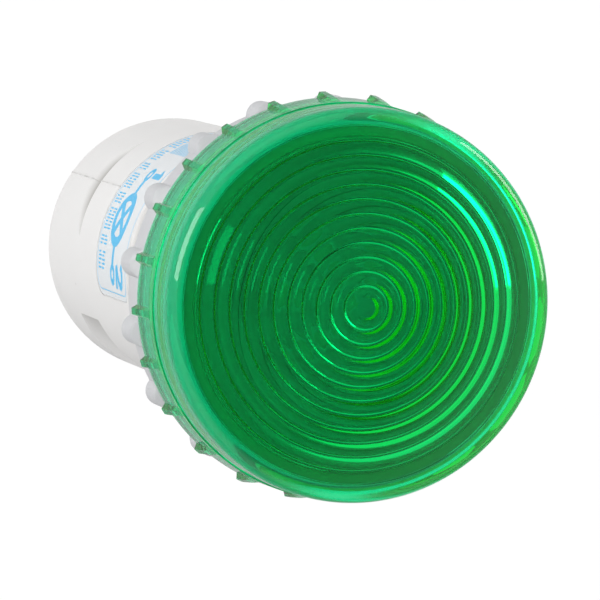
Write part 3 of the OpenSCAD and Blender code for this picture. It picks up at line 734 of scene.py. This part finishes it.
nut_mesh = worked_mesh("lobed_nut", turned_mesh("nut_blank", rows, columns), [
    (lobe_tree, {"Count": float(lobe_count), "First Angle": math.radians(lobe_first),
                 "Centre Radius": lobe_centre * MM, "Lobe Radius": lobe_radius * MM,
                 "Top Radius": lobe_top * MM, "Cone Low": cone_low * MM,
                 "Cone High": cone_high * MM, "Body Radius": nut_r * MM, "Material": nut_mat}),
    (thread_tree, {"Pitch": neck_pitch * MM, "Depth": neck_cut * MM, "Low": (nut_low + 0.3) * MM,
                   "High": (nut_high - 0.3) * MM, "Run-out": 0.2 * MM, "Flat Share": 0.1,
                   "Material": nut_mat})])
nut_mesh.set_sharp_from_angle(angle=sharp_angle)
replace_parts(placed("lobed_nut", nut_mesh, "nut"), "lock_nut")


# ---- Label and its print ---------------------------------------------------------
# A clear polyester film in a shallow pocket of the tail, screen printed in pale blue: a
# frame, a lamp sign between its numbered terminals, and rows of fine bars.

film_shell = tube("film_shell", tail_r - 0.11, tail_r - 0.01, shell_low, shell_high)
film_bar = prism(label_outline(0.0), cut_from, cut_to, "Y")
film_mesh = carved(gathered("label_film", [film_bar]), [film_shell], "INTERSECT")
film_mat, tree, out = empty_material("clear_polyester_film")
where = add(tree, "TexCoord")
ripple = add(tree, "TexNoise", {"Vector": where.outputs["Object"], "Scale": 1 / (2.5 * MM),
                                "Detail": 1.0})
tint = add(tree, "Mix", {0: ripple.outputs["Fac"], 6: linear("f6f9fb"), 7: linear("eef4f8")},
           data_type="RGBA")
bump = add(tree, "Bump", {"Height": ripple.outputs["Fac"], "Distance": 0.02 * MM,
                          "Strength": 0.4})
skin = add(tree, "BsdfPrincipled", {"Base Color": tint.outputs[2], "Roughness": 0.22, "IOR": 1.57,
                                    "Normal": bump, "Coat Weight": 0.3, "Coat Roughness": 0.1})
tree.links.new(skin.outputs[0], out.inputs["Surface"])
coated(film_mesh, film_mat)
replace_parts(placed("label_film", film_mesh, "base"), "rating_label")


def stroke(ax, az, bx, bz, width):
    """A straight printed line between two places on the label, as a bar through it."""
    long = math.hypot(bx - ax, bz - az)
    sx, sz = -(bz - az) / long * width / 2, (bx - ax) / long * width / 2
    return prism([(az + sz, ax + sx), (bz + sz, bx + sx), (bz - sz, bx - sx),
                  (az - sz, ax - sx)], cut_from, cut_to, "Y")


def hoop(x, z, outer, inner):
    """A printed circle, closed but for a hair."""
    turns = [math.radians(a) for a in spaced(1, 359, 40)]
    return prism([(z + outer * math.sin(t), x + outer * math.cos(t)) for t in turns]
                 + [(z + inner * math.sin(t), x + inner * math.cos(t)) for t in reversed(turns)],
                 cut_from, cut_to, "Y")


print_low, print_high = label_low + 0.35, label_high - 0.35
lamp_x, lamp_z, lamp_r = -2.4, 22.2, 2.25
marks = [hoop(lamp_x, lamp_z, lamp_r, lamp_r - 0.75)]
reach = (lamp_r - 0.4) * math.sqrt(0.5)
marks += [stroke(lamp_x - reach, lamp_z - reach, lamp_x + reach, lamp_z + reach, 0.62),
          stroke(lamp_x - reach, lamp_z + reach, lamp_x + reach, lamp_z - reach, 0.62),
          stroke(lamp_x - 3.6, lamp_z, lamp_x - lamp_r + 0.1, lamp_z, 0.55),
          stroke(lamp_x + lamp_r - 0.1, lamp_z, lamp_x + 3.6, lamp_z, 0.55),
          hoop(lamp_x - 4.1, lamp_z, 0.7, 0.3), hoop(lamp_x + 4.1, lamp_z, 0.7, 0.3)]
# plain terminal numbers, 1 and 2, which read from the +Y side, where +X is on the left
one, two = lamp_x + 4.1, lamp_x - 4.1
marks += [stroke(one, lamp_z + 1.1, one, lamp_z + 3.3, 0.55),
          stroke(one, lamp_z + 3.15, one + 0.6, lamp_z + 2.6, 0.4)]
path = [(-0.65, 2.6), (-0.35, 3.05), (0.35, 3.05), (0.65, 2.6), (0.5, 2.15), (-0.65, 1.3),
        (0.8, 1.3)]
marks += [stroke(two - a[0], lamp_z + a[1], two - b[0], lamp_z + b[1], 0.48)
          for a, b in zip(path, path[1:])]
# two rows of fine bars, in groups
for row, low in enumerate((17.75, 18.85)):
    x = -6.3
    for group in (5, 3, 7, 4, 6, 3, 5, 6):
        for k in range(group):
            tall = 0.85 if (k + row + group) % 3 else 0.6
            marks.append(stroke(x, low, x, low + tall, 0.13))
            x += 0.27
        x += 0.33
marks += [stroke(4.2, 20.6 + 0.6 * k, 6.9 - 0.5 * (k % 3), 20.6 + 0.6 * k, 0.22)
          for k in range(8)]
# a fine frame, set in from the edge
lines = [(-label_half + 1.1, print_low, label_half - 1.1, print_low),
         (-label_half + 1.1, print_high, label_half - 1.1, print_high),
         (-label_half + 0.3, label_low + 1.15, -label_half + 0.3, label_high - 1.15),
         (label_half - 0.3, label_low + 1.15, label_half - 0.3, label_high - 1.15)]
marks += [stroke(*line, 0.05) for line in lines]
for across in (-1, 1):
    for z, up in ((label_low + 1.15, -1), (label_high - 1.15, 1)):
        bend = [(across * (label_half - 1.1 + 0.8 * math.cos(math.radians(15 * k))),
                 z + up * 0.8 * math.sin(math.radians(15 * k))) for k in range(7)]
        marks += [stroke(*a, *b, 0.05) for a, b in zip(bend, bend[1:])]
ink_shell = tube("ink_shell", tail_r - 0.015, tail_r - 0.002, shell_low, shell_high)
print_mesh = carved(gathered("label_print", marks), [ink_shell], "INTERSECT")
ink_mat, tree, out = empty_material("pale_blue_screen_ink")
where = add(tree, "TexCoord")
tint = mottled(tree, where, "43bdf3", "5ccaf7", 0.3)
skin = add(tree, "BsdfPrincipled", {"Base Color": tint, "Roughness": 0.35})
tree.links.new(skin.outputs[0], out.inputs["Surface"])
placed("label_print", coated(print_mesh, ink_mat), "base")


# ---- Terminal block and terminals ------------------------------------------------
# A white moulded block keyed into the tail, and in each side of it a stamped brass bar
# whose tail is soldered to the board. The block is pushed home and stays by friction.

def dress(material, *names):
    """Give these carried-over solids one material."""
    for name in names:
        coated(nodes[name].data, material)


def rolled_metal(name, pale, deep, roughness, streak):
    """A stamped or turned metal: rolling streaks this many mm apart, and cloudy tarnish."""
    made, tree, out = empty_material(name)
    where = add(tree, "TexCoord")
    drawn = add(tree, "Mapping", {"Vector": where.outputs["Object"], "Scale": (1.0, 0.06, 1.0)})
    lines = add(tree, "TexNoise", {"Vector": drawn, "Scale": 1 / (streak * MM)})
    tint = mottled(tree, where, pale, deep, 2.5, 3.0)
    dull = add(tree, "MapRange", {"Value": lines.outputs["Fac"], "From Min": 0.3, "From Max": 0.7,
                                  "To Min": roughness - 0.08, "To Max": roughness + 0.08})
    bump = add(tree, "Bump", {"Height": lines.outputs["Fac"], "Distance": 0.01 * MM,
                              "Strength": 0.4})
    skin = add(tree, "BsdfPrincipled", {"Base Color": tint, "Metallic": 1.0, "Normal": bump,
                                        "Roughness": dull})
    tree.links.new(skin.outputs[0], out.inputs["Surface"])
    return made


# warm off-white polyester moulding, and brass with the lines of its rolling
dress(moulded("moulded_white_block", "edebe5", "e2e0d9", 0.46, 0.3, 0.012), "terminal_block")
dress(rolled_metal("stamped_brass", "dcc07a", "c4a257", 0.28, 0.09), "terminal_1", "terminal_2")


# ---- Clamp plates and screws -----------------------------------------------------
# Zinc-plated steel: a square plate that a slotted screw pulls up against the bar, with
# one wire on either side of the screw. Each screw is held in its plate and turns in the bar.

# bluish zinc over pressed steel, a little cloudy
dress(rolled_metal("zinc_plated_steel", "cdd2d8", "aeb4bb", 0.30, 0.12),
      "clamp_plate_1", "clamp_plate_2", "clamp_screw_1", "clamp_screw_2")


# ---- Boards ----------------------------------------------------------------------
# A glass-epoxy board that stands in a slot of the block, and a round white board on
# top of it for the lamp chips. Both are etched, masked and soldered to each other.

# green solder mask, paler where it runs over a copper track
board_mat, tree, out = empty_material("green_solder_mask")
where = add(tree, "TexCoord")
xyz = add(tree, "SeparateXYZ", {0: where.outputs["Object"]})
face = add(tree, "CombineXYZ", {0: xyz.outputs[2], 1: xyz.outputs[1]})
tracks = add(tree, "TexBrick", {"Vector": face, "Scale": 1.0, "Mortar Size": 0.28 * MM,
                                "Mortar Smooth": 0.2, "Brick Width": 5.2 * MM,
                                "Row Height": 2.1 * MM, "Color1": linear("1a5c34"),
                                "Color2": linear("1d6339"), "Mortar": linear("3c8f58")})
bump = add(tree, "Bump", {"Height": tracks.outputs["Fac"], "Distance": 0.03 * MM,
                          "Strength": 0.5})
skin = add(tree, "BsdfPrincipled", {"Base Color": tracks.outputs["Color"], "Roughness": 0.33,
                                    "Normal": bump})
tree.links.new(skin.outputs[0], out.inputs["Surface"])
dress(board_mat, "circuit_board")

# white solder mask, silky and slightly uneven
dress(moulded("white_solder_mask", "f2f2ec", "e9e9e2", 0.4, 0.6, 0.01), "lamp_board")


# ---- Lamp chips ------------------------------------------------------------------
# Seven surface-mounted chips, one in the middle and six round it: a white moulded cup
# with a round window of cloudy resin over the die. They are soldered to the lamp board.

window_z = 48.22
chip_mat, tree, out = empty_material("white_cup_and_cloudy_resin")
where = add(tree, "TexCoord")
xyz = add(tree, "SeparateXYZ", {0: where.outputs["Object"]})
off = add(tree, "Math", {0: xyz.outputs[2], 1: window_z * MM}, operation="SUBTRACT")
gap = add(tree, "Math", {0: off}, operation="ABSOLUTE")
window = add(tree, "Math", {0: gap, 1: 0.02 * MM}, operation="LESS_THAN")
resin = mottled(tree, where, "f3f0de", "ece8d2", 0.5)
colour = add(tree, "Mix", {0: window, 6: linear("f1f1ec"), 7: resin}, data_type="RGBA")
shine = add(tree, "MapRange", {"Value": window, "From Min": 0.0, "From Max": 1.0, "To Min": 0.42,
                               "To Max": 0.15})
skin = add(tree, "BsdfPrincipled", {"Base Color": colour.outputs[2], "Roughness": shine})
tree.links.new(skin.outputs[0], out.inputs["Surface"])
dress(chip_mat, *["led_%d" % k for k in range(1, 8)])


# ---- Parts on the circuit board --------------------------------------------------
# A bridge rectifier, a smoothing capacitor, two resistors and a varistor turn mains
# into lamp current. Their tinned wires are bent to the board and soldered.

def with_wires(name, coat, roughness, wire_mask):
    """A coated part whose tinned wires are where the mask, made in this tree, is one."""
    made, tree, out = empty_material(name)
    where = add(tree, "TexCoord")
    xyz = add(tree, "SeparateXYZ", {0: where.outputs["Object"]})
    mask = wire_mask(tree, xyz)
    body = coat(tree, where, xyz)
    tinned = mottled(tree, where, "d2d4d6", "b4b6ba", 0.4)
    colour = add(tree, "Mix", {0: mask, 6: body, 7: tinned}, data_type="RGBA")
    dull = add(tree, "MapRange", {"Value": mask, "To Min": roughness, "To Max": 0.28})
    skin = add(tree, "BsdfPrincipled", {"Base Color": colour.outputs[2], "Roughness": dull,
                                        "Metallic": mask})
    tree.links.new(skin.outputs[0], out.inputs["Surface"])
    return made


def past(tree, value, limit, operation):
    """One where a place is past this limit in mm."""
    return add(tree, "Math", {0: value, 1: limit * MM}, operation=operation).outputs[0]


def legs(tree, xyz):
    """The legs stand out of both sides."""
    gap = add(tree, "Math", {0: xyz.outputs[1]}, operation="ABSOLUTE")
    return past(tree, gap.outputs[0], 3.11, "GREATER_THAN")


# matt black epoxy, fine-grained with its filler, and tinned legs at its sides
dress(with_wires("black_moulding_epoxy",
                 lambda tree, where, xyz: mottled(tree, where, "232325", "171719", 0.15, 3.0),
                 0.55, legs),
      "bridge_rectifier")


def sleeve(tree, where, xyz):
    """Dark shrunk film with a pale stripe down the side away from the board."""
    film = mottled(tree, where, "1d2a4c", "16203c", 2.0, 3.0)
    stripe = past(tree, xyz.outputs[0], 6.85, "GREATER_THAN")
    striped = add(tree, "Mix", {0: stripe, 6: film, 7: linear("b9c0c8")}, data_type="RGBA")
    can = past(tree, xyz.outputs[2], 31.98, "GREATER_THAN")
    return add(tree, "Mix", {0: can, 6: striped.outputs[2], 7: linear("c3c6c8")},
               data_type="RGBA").outputs[2]


# glossy shrunk film over an aluminium can, on tinned wires
dress(with_wires("shrunk_capacitor_film", sleeve, 0.3,
                 lambda tree, xyz: past(tree, xyz.outputs[2], 20.98, "LESS_THAN")),
      "smoothing_capacitor")


def banded(tree, where, xyz):
    """Blue enamel with painted bands round it."""
    colour = mottled(tree, where, "86a9c2", "779bb6", 1.2, 3.0)
    for low, paint in ((23.1, "7a4a22"), (24.2, "1c1c1c"), (25.3, "c23a2c"), (27.4, "b8923a")):
        above = past(tree, xyz.outputs[2], low, "GREATER_THAN")
        under = past(tree, xyz.outputs[2], low + 0.55, "LESS_THAN")
        band = add(tree, "Math", {0: above, 1: under}, operation="MULTIPLY")
        colour = add(tree, "Mix", {0: band, 6: colour, 7: linear(paint)},
                     data_type="RGBA").outputs[2]
    return colour


def resistor_wires(tree, xyz):
    """The wires stand out of both ends."""
    off = add(tree, "Math", {0: xyz.outputs[2], 1: 25.5 * MM}, operation="SUBTRACT")
    gap = add(tree, "Math", {0: off}, operation="ABSOLUTE")
    return past(tree, gap.outputs[0], 3.51, "GREATER_THAN")


# baked enamel over a film resistor, painted with its bands
dress(with_wires("banded_resistor_enamel", banded, 0.35, resistor_wires),
      "resistor_1", "resistor_2")

# dipped epoxy, deep blue, on tinned wires
dress(with_wires("dipped_blue_epoxy",
                 lambda tree, where, xyz: mottled(tree, where, "1d4a94", "173c7c", 1.5, 3.0),
                 0.32,
                 lambda tree, xyz: past(tree, xyz.outputs[0], 1.12, "LESS_THAN")),
      "varistor")


low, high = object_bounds()
